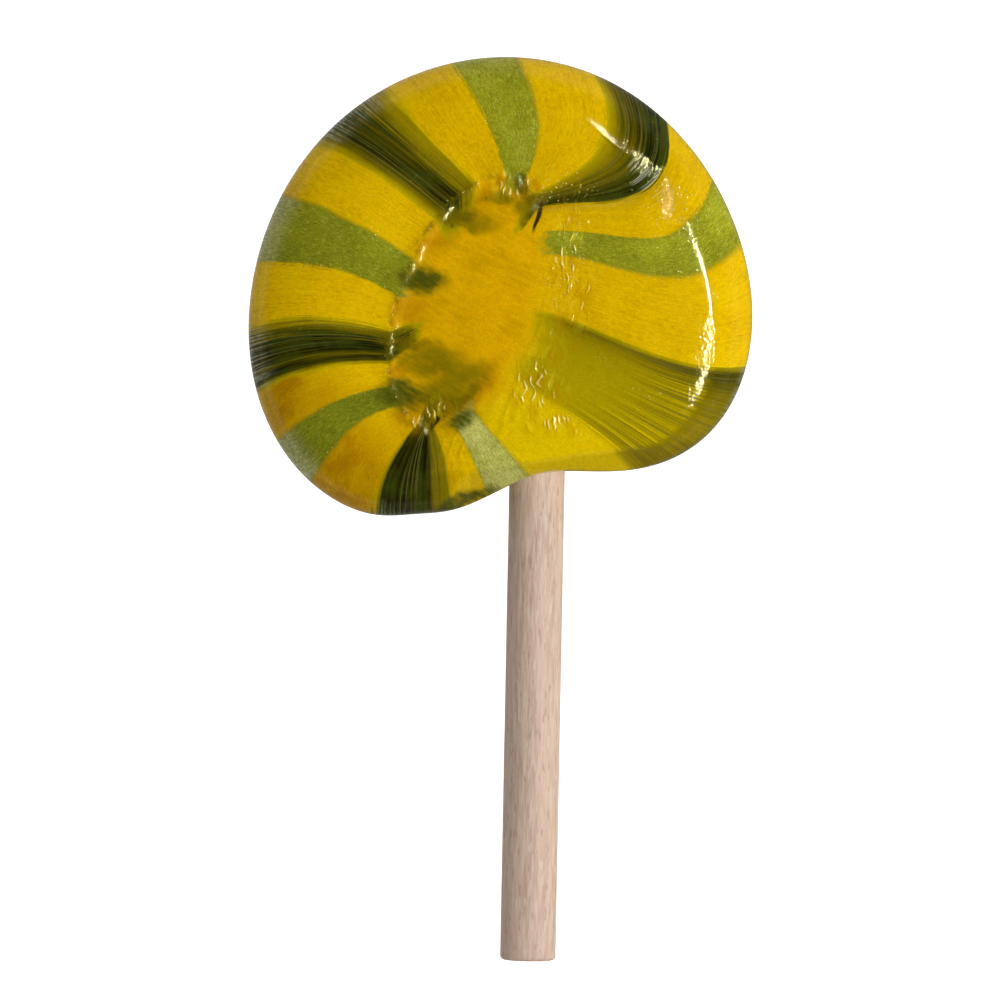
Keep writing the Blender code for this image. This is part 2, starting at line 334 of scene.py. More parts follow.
bm = bmesh.new()
bmesh.ops.create_uvsphere(bm, u_segments=STRANDS, v_segments=RINGS, radius=1.0)
globe = np.array([vert.co[:] for vert in bm.verts])
strand = np.rint(np.degrees(np.arctan2(globe[:, 1], globe[:, 0])) % 360.0 / 360.0 * STRANDS)
strand = strand.astype(int) % STRANDS
ring = np.rint(np.degrees(np.arccos(np.clip(globe[:, 2], -1.0, 1.0))) / 180.0 * RINGS)
ring = ring.astype(int)
for vert, point in zip(bm.verts, grid[strand, ring] * MM):
    vert.co = point
candy_mesh = bpy.data.meshes.new("candy_head")
bm.to_mesh(candy_mesh)
bm.free()
candy_mesh.shade_smooth()


def lay_map(mesh, name, across, along):
    """A UV map from a value for each strand and one for each vertex, closed at the seam."""
    corner = np.zeros(len(mesh.loops), int)
    mesh.loops.foreach_get("vertex_index", corner)
    start = np.zeros(len(mesh.polygons), int)
    mesh.polygons.foreach_get("loop_start", start)
    sides = np.diff(np.append(start, len(corner)))
    column = strand[corner].astype(float)
    wide = np.repeat(np.maximum.reduceat(column, start) > 0.75 * STRANDS, sides)
    column = np.where(wide & (column < 0.25 * STRANDS), column + STRANDS, column)
    pole = (ring[corner] == 0) | (ring[corner] == RINGS)
    turn = np.repeat(np.add.reduceat(np.where(pole, 0.0, column), start), sides)
    column = np.where(pole, turn / 2.0, column)
    sideways = np.interp(column, np.arange(STRANDS + 1), across)
    layer = mesh.uv_layers.new(name=name)
    layer.uv.foreach_set("vector", np.stack([sideways, along[corner]], -1).astype(np.float32).ravel())


rim_line = grid[:, SCAR_RINGS + FRONT_RINGS]
rim_run = np.append(0.0, np.cumsum(np.linalg.norm(np.diff(rim_line, axis=0), axis=1)))
past_rim = np.cumsum(np.linalg.norm(np.diff(grid, axis=1, prepend=grid[:, :1]), axis=2), axis=1)
past_rim -= past_rim[:, [SCAR_RINGS + FRONT_RINGS]]
# The size of the strand map, in millimetres.
MAP_SIZE = 100.0

# Soft patches of colour, painted shade, glints and wrinkles: x, y, half length and half width in
# millimetres, and turn in degrees.
# Deeper, darker amber towards the lower left: the thicker sugar's own colour, partly painted shade
# where the head curves away from the light.
AMBER_PATCHES = [(-15.8, -14.8, 6.0, 4.5, 120), (-6.0, -6.0, 5.0, 3.0, 70),
                 (-11.8, -16.5, 3.5, 3.0, 20), (-20.5, -9.0, 3.0, 2.0, 80)]
ORANGE_PATCHES = [(-8.1, 3.5, 1.9, 0.9, 30), (-10.5, -2.4, 1.2, 1.2, 0), (-10.8, -10.9, 1.1, 0.7, -30),
                  (-4.7, 7.3, 1.2, 0.45, 50), (-2.8, 8.5, 1.0, 0.3, 10), (-0.4, 7.9, 0.8, 0.25, -40),
                  (-4.6, -8.6, 2.6, 0.6, 62), (-11.4, -7.2, 0.8, 0.6, 80)]
# Olive in the scar: partly its own colour, partly painted shadow below the raised right edge of the
# cut.
OLIVE_PATCHES = [(-3.4, 6.9, 1.6, 0.6, 0), (-8.4, -6.5, 3.2, 1.4, -12), (-7.6, -8.9, 3.0, 1.5, 18),
                 (-5.8, 4.8, 2.0, 0.7, -10), (-1.3, 6.4, 1.0, 0.9, 0), (-6.4, -7.4, 2.6, 1.0, 10)]
MOSS_PATCHES = [(-9.4, 0.2, 1.7, 1.0, -8), (-10.3, 0.1, 0.9, 1.2, 60), (-11.1, -9.1, 2.0, 1.1, -8),
                (-6.2, -10.9, 1.3, 0.8, 40), (-1.9, 8.0, 0.6, 0.9, 20), (-5.9, -17.6, 3.0, 0.6, 20)]
BROWN_PATCHES = [(-6.4, 5.4, 1.3, 0.6, 20), (-10.9, -4.9, 1.9, 0.5, -6), (-6.6, -9.6, 2.7, 0.5, 40),
                 (-8.6, -11.4, 0.7, 0.5, 40), (-0.5, 6.9, 0.8, 0.5, 0), (-1.6, 7.5, 0.6, 0.4, -30),
                 (-8.0, -10.3, 1.0, 0.7, 40)]
# Thin dark lines of painted shade in two creases by the scar.
CREASE_SHADE_LINES = [(-0.35, 5.5, 1.3, 0.16, 76), (-8.3, -11.3, 0.8, 0.2, 60)]
SPARKLING = [(10.0, 6.6, 2.6, 1.8, -30), (11.4, 4.4, 1.6, 0.9, -60),
             (1.5, 8.0, 2.2, 1.2, 0), (2.0, 1.8, 3.0, 1.4, 80), (-6.3, 5.6, 1.6, 1.0, 20)]
FROSTED = [(13.6, -3.6, 1.0, 0.8, 90), (13.6, -5.6, 1.6, 0.9, 85), (12.6, -8.6, 1.0, 0.7, 80)]
HATCHED = [(8.4, 8.6, 1.9, 0.9, -50)]
WRINKLED = [(2.4, 1.0, 4.8, 1.7, 88), (-0.4, -8.4, 3.0, 2.0, 70), (0.8, -10.9, 2.6, 0.9, -25),
            (-2.4, 8.0, 2.2, 0.9, 10), (-8.9, -10.8, 1.8, 0.9, 30)]


def patches(place, table, ragged=0.3):
    """How strongly each place lies within the soft, uneven patches of a table, 0 to 1."""
    uneven = place + ragged * np.stack([lumps(place, 0.9, 11), lumps(place, 0.9, 12)], -1)
    total = np.zeros(place.shape[:-1])
    for x, y, half_length, half_width, turn in table:
        turn = math.radians(turn)
        away = uneven - (x, y)
        along = away @ np.array([math.cos(turn), math.sin(turn)]) / half_length
        across = away @ np.array([-math.sin(turn), math.cos(turn)]) / half_width
        level = np.clip(1.15 - 0.62 * np.hypot(along, across), 0.0, 1.0)
        total = np.maximum(total, level * level * (3.0 - 2.0 * level))
    return total


def lay_levels(mesh, name, *levels):
    """Store three levels for each vertex, 0 on the back of the head."""
    shown = np.arange(RINGS + 1) < SCAR_RINGS + FRONT_RINGS + 3
    values = np.stack(levels, -1) * shown[None, :, None]
    layer = mesh.attributes.new(name, "FLOAT_VECTOR", "POINT")
    layer.data.foreach_set("vector", values[strand, ring].astype(np.float32).ravel())


plan = grid[..., :2]
lip_away, lip_left = scar_distance(plan - (HEAD_MIDDLE_X, 0.0))
at_lip = np.exp(-(((lip_away + 0.12 * lumps(plan, 0.8, 13)) / 0.3) ** 2)) * lip_left
torn_edge = 0.3 + 2.6 * (1.0 - lip_left)
inside_scar = np.clip(0.5 - (lip_away + 0.2 * lumps(plan, 1.0, 14)) / torn_edge, 0.0, 1.0)
# Painted shade on the pressed facet at the foot, which faces away from the light.
FACET_STARTS = -9.5
foot_turn = math.radians(FACET_DIRECTION)
facet_shade = (plan - (HEAD_MIDDLE_X, 0.0)) @ np.array([math.cos(foot_turn), math.sin(foot_turn)])
facet_shade = np.clip((facet_shade - CREST_REACH) / 0.5 + 0.5, 0.0, 1.0)
facet_shade *= np.clip((plan[..., 0] - FACET_STARTS) / 2.0, 0.0, 1.0)
lay_levels(candy_mesh, "warm_stains", patches(plan, AMBER_PATCHES), patches(plan, ORANGE_PATCHES),
           patches(plan, CREASE_SHADE_LINES, 0.08))
lay_levels(candy_mesh, "green_stains", patches(plan, OLIVE_PATCHES), patches(plan, MOSS_PATCHES),
           patches(plan, BROWN_PATCHES))
lay_levels(candy_mesh, "glints", patches(plan, SPARKLING), patches(plan, FROSTED),
           patches(plan, HATCHED))
lay_levels(candy_mesh, "creases", patches(plan, WRINKLED), at_lip, facet_shade)
lay_levels(candy_mesh, "scar", inside_scar, inside_scar, inside_scar)

lay_map(candy_mesh, "stripes", np.linspace(0.0, 1.0, STRANDS + 1), ring / RINGS)
lay_map(candy_mesh, "strands", rim_run / MAP_SIZE, past_rim[strand, ring] / MAP_SIZE)


class Wire:
    """A node socket that takes plain arithmetic, so that shader maths reads as such."""

    def __init__(self, tree, socket=None):
        self.tree = tree
        self.socket = socket

    def node(self, kind, settings=None, inputs=None, output=0):
        """Add a node: first its settings, then the values or wires of its sockets."""
        made = self.tree.nodes.new("ShaderNode" + kind)
        for name, value in (settings or {}).items():
            if name == "stops":
                while len(made.color_ramp.elements) < len(value):
                    made.color_ramp.elements.new(0.5)
                for stop, (place, colour) in zip(made.color_ramp.elements, value):
                    stop.position = place
                    stop.color = (*colour, 1.0)
            else:
                setattr(made, name, value)
        for name, value in (inputs or {}).items():
            if isinstance(value, Wire):
                self.tree.links.new(value.socket, made.inputs[name])
            elif len(np.shape(value)) and made.inputs[name].type == "RGBA":
                made.inputs[name].default_value = (*value, 1.0)
            else:
                made.inputs[name].default_value = value
        return Wire(self.tree, made.outputs[output])

    def maths(self, operation, *values):
        return self.node("Math", {"operation": operation}, dict(enumerate(values)))

    def __add__(self, other):
        return self.maths("ADD", self, other)

    def __sub__(self, other):
        return self.maths("SUBTRACT", self, other)

    def __rsub__(self, other):
        return self.maths("SUBTRACT", other, self)

    def __mul__(self, other):
        return self.maths("MULTIPLY", self, other)

    __radd__ = __add__
    __rmul__ = __mul__

    def ramp(self, low, high):
        """0 below low and 1 above high, eased between; falls where low is above high."""
        sockets = {0: self, 1: low, 2: high}
        return self.node("MapRange", {"interpolation_type": "SMOOTHSTEP"}, sockets)

    def swing(self, centre, half_period):
        """Distance to the nearest repeat of a centre that recurs every two half periods."""
        return self.maths("PINGPONG", self - centre, half_period)

    def blend(self, under, over):
        """Colour under where this factor is 0, over where it is 1."""
        return self.node("Mix", {"data_type": "RGBA"}, {0: self, 6: under, 7: over}, 2)

    def part(self, number):
        """One coordinate of a vector."""
        return self.node("SeparateXYZ", None, {0: self}, number)

    def levels(self, table):
        """A value read off a table of (place, level) pairs, straight between them."""
        stops = [(place, (level, level, level)) for place, level in table]
        return self.node("ValToRGB", {"stops": stops}, {0: self})

    def tints(self, table):
        return self.node("ValToRGB", {"stops": table}, {0: self})

    def stretched(self, *scale):
        return self.node("Mapping", None, {"Vector": self, "Scale": scale})

    def grain(self, size=1.0, detail=2.0, roughness=0.5):
        """Cloudy noise, around 0.5, with grains of a size in the vector's own unit."""
        sockets = {"Vector": self, "Scale": 1.0 / size, "Detail": detail, "Roughness": roughness}
        return self.node("TexNoise", None, sockets)

    def fibres(self, across, along, detail=2.0):
        """Noise drawn out along the strands; sizes in millimetres, on the strand map."""
        return self.stretched(MAP_SIZE / across, MAP_SIZE / along, 1.0).grain(1.0, detail, 0.6)

    def wavering(self, size, reach):
        """The same places, each shifted smoothly at random by up to a reach."""
        sockets = {"Vector": self, "Scale": 1.0 / size, "Detail": 1.0}
        noise = self.node("TexNoise", None, sockets, 1)
        sockets = {0: noise, 1: (2.0 * reach,) * 3, 2: (-reach,) * 3}
        shift = self.node("VectorMath", {"operation": "MULTIPLY_ADD"}, sockets)
        return self.node("VectorMath", {"operation": "ADD"}, {0: self, 1: shift})

    def shade(self, value):
        """A colour made darker or lighter."""
        return self.node("VectorMath", {"operation": "SCALE"}, {0: self, 3: value})


def new_material(name):
    """An empty node material: its starting wire, its shader node and itself."""
    material = bpy.data.materials.new(name)
    material.use_nodes = True
    shader = material.node_tree.nodes["Principled BSDF"]
    return material, Wire(material.node_tree), shader


SCAR_DRAG = -28.0
LIP_LINE = SCAR_RINGS / RINGS
RIM_LINE = (SCAR_RINGS + FRONT_RINGS) / RINGS

# How dense the dark green glass lies across its stripes, by place in bands. At the crease, band 2, the
# densest glass is partly painted fold shadow.
GLASS_ABOVE = [(1.96, 0.0), (2.0, 1.0), (2.2, 0.92), (2.4, 0.70), (2.75, 0.57), (2.95, 0.38),
               (3.14, 0.0), (5.86, 0.0), (6.02, 0.42), (6.28, 0.55), (6.4, 0.80), (6.75, 0.88),
               (6.95, 0.50), (7.15, 0.0), (9.96, 0.0), (10.03, 0.5), (10.25, 0.62),
               (10.34, 1.0), (10.62, 1.0), (10.7, 0.7), (10.86, 0.92), (10.98, 0.6), (11.06, 0.0)]
GLASS_BELOW = [(13.96, 0.0), (14.0, 0.92), (14.62, 1.0), (14.66, 0.5), (14.97, 0.44),
               (15.01, 0.0), (17.94, 0.0), (18.1, 0.20), (18.45, 0.22), (18.7, 0.27),
               (18.88, 0.36), (18.96, 0.52), (19.0, 0.60), (19.01, 0.0)]
# How far each stripe reaches into the scar, as a share of the way to its middle.
REACH = [(0.0, 0.02), (1.6, 0.02), (2.4, 0.12), (3.4, 0.05), (4.5, 0.1), (6.5, 0.10), (8.5, 0.12),
         (10.5, 0.2), (12.5, 0.1), (14.5, 0.04), (16.5, 0.06), (17.5, 0.06), (18.6, 0.16),
         (19.1, 0.2), (19.5, 0.02), (20.0, 0.02)]
# How pale each light green stripe is, by place in bands: partly its own tint, partly painted sheen
# where a stripe faces the light.
PALENESS = [(0.5, 0.27), (2.5, 0.3), (4.5, 0.34), (8.5, 0.14), (12.5, 0.06), (15.0, 0.3),
            (16.5, 0.95), (18.0, 0.6), (20.0, 0.34)]

LEMON = (0.73, 0.47, 0.0006)
HONEY = (0.62, 0.365, 0.0005)
FOOT_LEMON = (0.74, 0.54, 0.0006)
AMBER = (0.78, 0.43, 0.0005)
OCHRE = (0.62, 0.335, 0.0005)
DEEP_AMBER = (0.40, 0.19, 0.0003)
ORANGE = (0.52, 0.25, 0.0008)
LIGHT_GREENS = [(0.0, (0.165, 0.185, 0.007)), (0.33, (0.32, 0.32, 0.012)), (1.0, (0.54, 0.53, 0.13))]
WHITE_SAGE = (0.55, 0.55, 0.20)
PAINTED_RIM_SHEEN = (0.60, 0.58, 0.40)
SCAR_OLIVE = (0.19, 0.15, 0.0008)
MOSS_GREEN = (0.075, 0.085, 0.004)
BROWN_OLIVE = (0.165, 0.12, 0.0015)
CREASE_SHADE = (0.04, 0.024, 0.001)
BOTTLE_GREEN = (0.046, 0.060, 0.004)
HAIR_LINE = (0.22, 0.21, 0.05)
BUBBLE_GLINT = (0.95, 0.80, 0.25)
WRINKLE_GLINT = (0.95, 0.82, 0.25)
PAINTED_FOLD_HIGHLIGHT = (0.90, 0.68, 0.02)
COMB_GLINT = (0.9, 0.92, 0.7)
GLASS_TINTS = [(0.0, (0.52, 0.40, 0.0008)), (0.2, (0.43, 0.325, 0.0008)), (0.4, (0.29, 0.215, 0.001)),
               (0.6, (0.145, 0.112, 0.001)), (0.8, (0.050, 0.044, 0.0013)),
               (1.0, (0.009, 0.009, 0.001))]

# The roughness of the bare yellow sugar, and the relief of the shading in millimetres.
POLISH = 0.05
FELT_RISE = 0.002
GREEN_FELT_RISE = 0.004
STREAK_RISE = 0.003
FINE_RISE = 0.002
GLASS_RISE = 0.015
BUBBLE_RISE = 0.05
SPARKLE_RISE = 0.015
FROST_RISE = 0.03
COMB_RISE = 0.06
RIDGE_RISE = 0.05
BEAD_RISE = 0.06
SCAR_RISE = 0.02
CRUMPLED_RISE = 0.09


def satin_sugar():
    material, start, shader = new_material("satin_sugar")
    stripes = start.node("UVMap", {"uv_map": "stripes"})
    strands = start.node("UVMap", {"uv_map": "strands"})
    solid = start.node("TexCoord", output=3).stretched(1.0 / MM, 1.0 / MM, 1.0 / MM)
    warm, green, glint, creased, scar = [
        start.node("Attribute", {"attribute_name": name}, output=1)
        for name in ("warm_stains", "green_stains", "glints", "creases", "scar")]
    front = stripes.part(1).ramp(RIM_LINE, RIM_LINE - 0.02)
    inward = 1.0 - stripes.part(1) * (1.0 / LIP_LINE)
    from_rim = strands.part(1) * MAP_SIZE

    broad = strands.fibres(0.55, 14.0)
    streaks = strands.fibres(0.22, 9.0)
    lines = strands.fibres(0.15, 16.0, 0.0)
    felt = strands.fibres(0.14, 0.6, 3.0)
    clouds = solid.grain(2.6, 3.0)
    mottle = solid.grain(0.6, 3.0, 0.65)
    fine = solid.grain(0.15, 2.0, 0.7)
    specks = solid.grain(0.26, 0.0)

    place = stripes.part(0) * BANDS
    band = place + (clouds - 0.5) * 0.12 + (streaks - 0.5) * 0.10 + (felt - 0.5) * 0.10
    plain = place.swing(18.5, BANDS / 2.0).ramp(0.8, 0.6)
    sliding = (broad - 0.5) * 0.26 + (streaks - 0.5) * 0.16 + (clouds - 0.5) * 0.12
    slid = place + sliding * (1.0 - plain * 0.85)
    per_band = [[(at / BANDS, level) for at, level in table]
                for table in (GLASS_ABOVE, GLASS_BELOW, REACH, PALENESS)]
    reach = stripes.part(0).levels(per_band[2]) + (mottle - 0.5) * 0.35
    reaching = (reach - inward).ramp(-0.10, 0.10)
    slid = slid * (1.0 / BANDS)
    glass = slid.maths("MAXIMUM", slid.levels(per_band[0]), slid.levels(per_band[1]))
    foldward = place.swing(2.4, BANDS / 2.0).ramp(0.8, 0.4) * from_rim.ramp(-10.0, -5.0)
    glass = glass + glass * foldward * 0.35
    # The olive band: fibre lines over the plateau, denser towards the rim, and a step darker past the
    # plateau's edge as painted shade where its side falls away.
    hatching = from_rim.ramp(-15.0, -8.0) * from_rim.ramp(-5.5, -6.0)
    hatched = (from_rim.ramp(-6.2, -5.4) * 0.13 + from_rim.ramp(-14.0, -7.0) * 0.12
               + (lines * 0.6 + streaks * 0.4 - 0.52) * hatching * 1.05
               + (lines * 0.5 + broad * 0.5 - 0.5) * from_rim.ramp(-6.0, -4.5) * 0.45)
    glass = glass + plain * hatched * glass.ramp(0.02, 0.16)
    glass = glass + ((broad - 0.5) * 0.5 + (streaks - 0.5) * 1.2) * glass * (1.0 - plain * 0.85)
    ragged = stripes.part(1) + (mottle - 0.5) * 0.06 + (clouds - 0.5) * 0.1
    outer = ragged.ramp(LIP_LINE - 0.05, LIP_LINE + 0.10)
    tail = (reach - inward).ramp(-0.3, 0.10)
    glass = glass * tail * (1.0 - plain * (1.0 - outer))
    light = band.swing(0.5, 2.0).ramp(0.545, 0.460) * reaching
    rind = band.swing(0.5, 2.0).swing(0.5, 9.0).ramp(0.07, 0.02) * reaching

    inside = scar.part(0)
    drag = {"Vector": solid, "Rotation": (0.0, 0.0, math.radians(SCAR_DRAG)), "Scale": (1.6, 0.28, 1.0)}
    torn = start.node("Mapping", {"vector_type": "TEXTURE"}, drag).grain(1.0, 3.0, 0.6)
    yellow = (streaks * 0.2 + felt * 0.5 + clouds * 0.3).ramp(0.38, 0.56).blend(HONEY, LEMON)
    amber = (clouds * 0.5 + torn * 0.5).ramp(0.36, 0.60).blend(OCHRE, AMBER)
    footward = solid.part(1).ramp(-4.0, -11.0) * solid.part(0).ramp(-8.0, -2.0)
    yellow = (footward * 0.7).blend(yellow, FOOT_LEMON)
    yellow = (inside * 0.85).blend(yellow, amber)
    amber_veil = (clouds * 0.5 + felt * 0.5).ramp(0.32, 0.64) * 0.9 + 0.3
    outward = stripes.part(1).ramp(LIP_LINE, 0.5 * (LIP_LINE + RIM_LINE)) * 0.9 + 0.1
    # Deeper amber in patches: partly the thicker sugar's colour, partly painted shade.
    yellow = (warm.part(0) * outward * amber_veil).blend(yellow, DEEP_AMBER)
    yellow = (warm.part(1) * (mottle * 0.8 + 0.4)).blend(yellow, ORANGE)

    pale = stripes.part(0).levels(per_band[3]) * (clouds * 1.1 + 0.45)
    # Paler towards the rim: painted sheen.
    pale = pale + from_rim.ramp(-4.0, -0.5) * 0.22
    leaf = pale.tints(LIGHT_GREENS)
    leaf = leaf.shade((felt * 0.6 + fine * 0.4).ramp(0.34, 0.66) * 0.5 + clouds * 0.55 + 0.46)
    leaf = (felt.ramp(0.56, 0.70) * (pale + 0.25) * 0.42).blend(leaf, WHITE_SAGE)
    colour = light.blend(yellow, leaf)
    colour = (rind * 0.3).blend(colour, LIGHT_GREENS[0][1])
    dark = glass.tints(GLASS_TINTS)
    greener = (broad * 0.6 + clouds * 0.4).ramp(0.45, 0.57) * glass.ramp(0.5, 0.8) * (1.0 - plain)
    dark = (greener * 0.8).blend(dark, BOTTLE_GREEN)
    colour = glass.ramp(0.02, 0.20).blend(colour, dark)
    colour = (lines.ramp(0.64, 0.70) * glass.ramp(0.35, 0.6) * 0.3).blend(colour, HAIR_LINE)

    uneven = (mottle - 0.5) * 0.5 + (torn - 0.5) * 0.7
    # Olive, moss and brown in the scar; the olive is partly painted shadow.
    stain_and_shadow_tints = [(green.part(0), 0.9, SCAR_OLIVE), (green.part(1), 1.0, MOSS_GREEN),
             (green.part(2), 0.9, BROWN_OLIVE)]
    for level, strength, tint in stain_and_shadow_tints:
        spread = (level + uneven * level.ramp(0.0, 0.4) * 1.3).ramp(0.08, 1.15)
        colour = (spread * strength).blend(colour, tint)
    # Painted sheen near the rim: pale streaks on the left rims and on the olive band's rim.
    streaked = glass.ramp(0.2, 0.5) * lines.ramp(0.48, 0.58)
    leftward = solid.part(0).ramp(-8.0, -16.0) * (light + streaked)
    left_rim_sheen = from_rim.ramp(-4.5, -0.8) * front * leftward * (felt.ramp(0.42, 0.60) * 0.6 + 0.4)
    sheen = from_rim.ramp(-3.5, -0.6) * front * plain * glass.ramp(0.05, 0.2) * streaks.ramp(0.42, 0.60)
    colour = (left_rim_sheen * 0.6 + sheen * 0.5).blend(colour, PAINTED_RIM_SHEEN)
    # Painted shade: dark brown lines in the creases by the scar.
    colour = warm.part(2).ramp(0.2, 0.8).blend(colour, CREASE_SHADE)
    colour = (creased.part(1) * mottle.ramp(0.42, 0.58) * 0.55).blend(colour, BROWN_OLIVE)
    grain = fine * 0.60 + mottle * 0.16 + felt * 0.16 + streaks * 0.18 + 0.45
    # Painted shade: darker past the crest at the foot.
    colour = colour.shade(grain * (1.0 - creased.part(2) * 0.2))

    cells = solid.node("TexVoronoi", None, {"Vector": solid, "Scale": 2.8})
    at_edge = band.swing(0.5, 2.0).swing(0.5, 9.0).ramp(0.12, 0.04)
    where = (glint.part(0) * 1.5 + clouds.ramp(0.56, 0.70) * 0.5 + at_edge * 0.6) * (1.0 - inside)
    where = where + creased.part(1) * 1.3
    # Bubbles in the skin: a real bump, with painted glints as bright specks on them.
    bubbles_and_glints = cells.ramp(0.26, 0.06) * (mottle + glint.part(0) * 0.08).ramp(0.42, 0.56) * where * front
    colour = (bubbles_and_glints * 0.55).blend(colour, BUBBLE_GLINT)

    drawn = solid.wavering(1.1, 0.5).stretched(1.0 / 0.42, 1.0 / 1.7, 1.0)
    moved = start.node("VectorMath", {"operation": "ADD"}, {0: drawn, 1: (0.2, 0.0, 0.0)})
    flat = {"voronoi_dimensions": "2D"}
    drops = [start.node("TexVoronoi", flat, {"Vector": at, "Scale": 1.0}, output)
             for at, output in ((drawn, 0), (moved, 0), (drawn, 1))]
    kept = drops[2].part(0).ramp(0.38, 0.52) * creased.part(0)
    ridges = drops[0].ramp(0.42, 0.05) * kept
    # Painted light on the wrinkle drops: a painted highlight on each right flank, painted shade on each
    # left flank.
    flank_light_and_shade = (drops[1] - drops[0]) * drops[0].ramp(0.5, 0.3) * kept
    colour = (flank_light_and_shade.ramp(0.09, 0.17) * mottle.ramp(0.38, 0.50) * 0.75).blend(colour, WRINKLE_GLINT)
    colour = (flank_light_and_shade.ramp(-0.04, -0.13) * 0.35).blend(colour, OCHRE)
    # Painted shade, in orange, and painted highlight, in lemon, in soft streaks over the wrinkled
    # patches.
    fold_light_and_shade = drawn.grain(1.3, 1.0)
    colour = (fold_light_and_shade.ramp(0.50, 0.62) * creased.part(0) * (1.0 - light) * 0.45).blend(colour, ORANGE)
    colour = (fold_light_and_shade.ramp(0.46, 0.34) * creased.part(0) * 0.3).blend(colour, PAINTED_FOLD_HIGHLIGHT)
    # Painted highlight: bright comb lines along the strands in the hatched patch.
    comb_glints = (lines * 0.7 + streaks * 0.3).ramp(0.53, 0.60) * glint.part(2).ramp(0.25, 0.9)
    colour = (comb_glints * 0.3).blend(colour, COMB_GLINT)
    beads = (solid.grain(0.3, 1.0) - 0.5) * creased.part(1)

    tree = material.node_tree
    tree.links.new(colour.socket, shader.inputs["Base Color"])
    height = ((felt - 0.5) * (light * GREEN_FELT_RISE + FELT_RISE) + (streaks - 0.5) * STREAK_RISE
              + (fine - 0.5) * FINE_RISE + bubbles_and_glints * BUBBLE_RISE
              + (specks - 0.5) * (glint.part(0) * SPARKLE_RISE + glint.part(1) * FROST_RISE)
              + (streaks - 0.5) * glass.ramp(0.3, 0.8) * GLASS_RISE
              + (lines + streaks - 1.0) * glint.part(2) * COMB_RISE
              + ridges * RIDGE_RISE + beads * BEAD_RISE
              + (inside * SCAR_RISE + creased.part(0) * CRUMPLED_RISE) * (mottle - 0.5))
    bump = start.node("Bump", None, {"Strength": 1.0, "Distance": MM, "Height": height})
    tree.links.new(bump.socket, shader.inputs["Normal"])
    roughness = (POLISH + light * 0.04 + inside * 0.06 + glint.part(1) * 0.04
                 + creased.part(1) * 0.1 + (mottle - 0.5) * 0.04)
    tree.links.new(roughness.socket, shader.inputs["Roughness"])
    shader.inputs["Subsurface Weight"].default_value = 0.3
    shader.inputs["Subsurface Radius"].default_value = (1.0, 0.6, 0.1)
    shader.inputs["Subsurface Scale"].default_value = 0.0004
    shader.inputs["Specular IOR Level"].default_value = 0.42
    shader.inputs["Specular Tint"].default_value = (1.0, 0.93, 0.45, 1.0)
    return material


candy_head = bpy.data.objects.new("candy_head", candy_mesh)
bpy.context.scene.collection.objects.link(candy_head)
candy_mesh.materials.append(satin_sugar())
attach(candy_head, "root")
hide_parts("candy")

# The stick: a round dowel of bare birch, sanded, its ends broken, pushed into the
# soft sugar and held as it sets.

STICK_LOW, STICK_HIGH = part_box("stick")
STICK_RADIUS = (STICK_HIGH.x - STICK_LOW.x) / 2.0
STICK_EDGE = 0.35 * MM
STICK_SEGMENTS = 96
STICK_RINGS = 150


def make_stick():
    """A cylinder with many rings, its ends drawn in to a broken edge."""
    length = STICK_HIGH.y - STICK_LOW.y
    bm = bmesh.new()
    bmesh.ops.create_cone(bm, cap_ends=True, segments=STICK_SEGMENTS,
                          radius1=STICK_RADIUS, radius2=STICK_RADIUS, depth=length)
    rims = [edge for edge in bm.edges if abs(edge.verts[0].co.z - edge.verts[1].co.z) < 1e-7]
    bmesh.ops.bevel(bm, geom=rims, offset=STICK_EDGE, affect="EDGES", segments=3,
                    profile=0.5, material=-1)
    sides = [edge for edge in bm.edges if abs(edge.verts[0].co.z - edge.verts[1].co.z) > length / 2]
    bmesh.ops.subdivide_edges(bm, edges=sides, cuts=STICK_RINGS, use_grid_fill=False)
    middle = (STICK_LOW + STICK_HIGH) / 2.0
    lie = Matrix.Translation(middle) @ Matrix.Rotation(math.radians(90.0), 4, "X")
    bmesh.ops.transform(bm, matrix=lie, verts=bm.verts)
    mesh = bpy.data.meshes.new("birch_stick")
    bm.to_mesh(mesh)
    bm.free()
    mesh.shade_smooth()
    mesh.set_sharp_from_angle(angle=math.radians(50.0))
    stick = bpy.data.objects.new("birch_stick", mesh)
    bpy.context.scene.collection.objects.link(stick)
    return stick


BIRCH_DARK = (0.47, 0.325, 0.24)
BIRCH_LIGHT = (0.61, 0.465, 0.365)
BIRCH_FIGURE = (0.62, 0.445, 0.34)
PALE_FLECK = (0.66, 0.55, 0.45)
DARK_FLECK = (0.36, 0.25, 0.18)
END_DARK = (0.26, 0.17, 0.11)
END_LIGHT = (0.50, 0.37, 0.27)
FIBRE_RISE = 0.05
FLECK_RISE = 0.04


